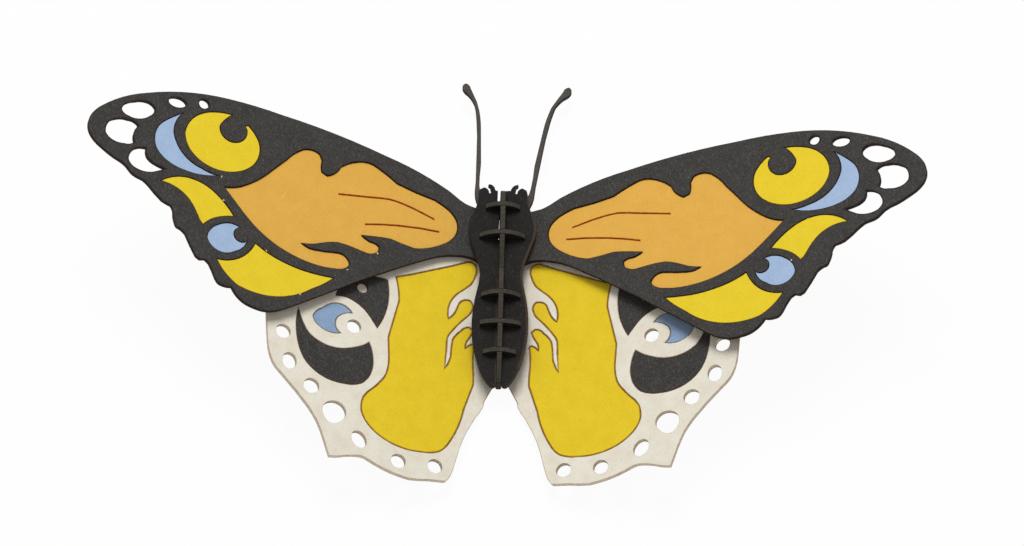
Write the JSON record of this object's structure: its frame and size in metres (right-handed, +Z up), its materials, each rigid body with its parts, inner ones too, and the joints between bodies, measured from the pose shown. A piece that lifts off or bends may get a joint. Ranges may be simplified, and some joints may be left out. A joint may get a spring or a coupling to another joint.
{
  "type": "paper butterfly",
  "caption": "Butterfly of folded and cut card: two wing sheets with coloured inlays, locked by slots under a standing spine and ribs.",
  "frame": {"origin": "Middle of the butterfly's box at the level of the flat strip of the hindwing sheet that it rests on.", "axes": "+X to the tip of its right wing, +Y to its head and antennae, +Z up, away from the surface it rests on."},
  "size_m": [0.1478, 0.0804, 0.0259],
  "materials": {
    "black_card": "matte, slightly fibrous, brown burnt cut edges",
    "cream_card": "matte, with tan cut edges",
    "yellow_card": "matte",
    "golden_card": "matte",
    "orange_card": "matte",
    "blue_card": "matte"
  },
  "bodies": {
    "root": {"forewings": "black_card", "hindwings": "cream_card", "antennae": "black_card", "body_plate": "black_card", "spine": "black_card", "front_thorax_rib": "black_card", "rear_thorax_rib": "black_card", "front_abdomen_rib": "black_card", "middle_abdomen_rib": "black_card", "rear_abdomen_rib": "black_card", "left_orange_panel": "orange_card", "left_yellow_moon": "yellow_card", "left_blue_crescent": "blue_card", "left_yellow_band": "yellow_card", "left_blue_eye": "blue_card", "left_lower_yellow": "yellow_card", "left_yellow_wing_panel": "golden_card", "left_black_wedge": "black_card", "left_hind_blue_crescent": "blue_card", "left_black_crescent": "black_card", "right_orange_panel": "orange_card", "right_yellow_moon": "yellow_card", "right_blue_crescent": "blue_card", "right_yellow_band": "yellow_card", "right_blue_eye": "blue_card", "right_lower_yellow": "yellow_card", "right_yellow_wing_panel": "golden_card", "right_black_wedge": "black_card", "right_hind_blue_crescent": "blue_card", "right_black_crescent": "black_card"}
  },
  "joints": []
}
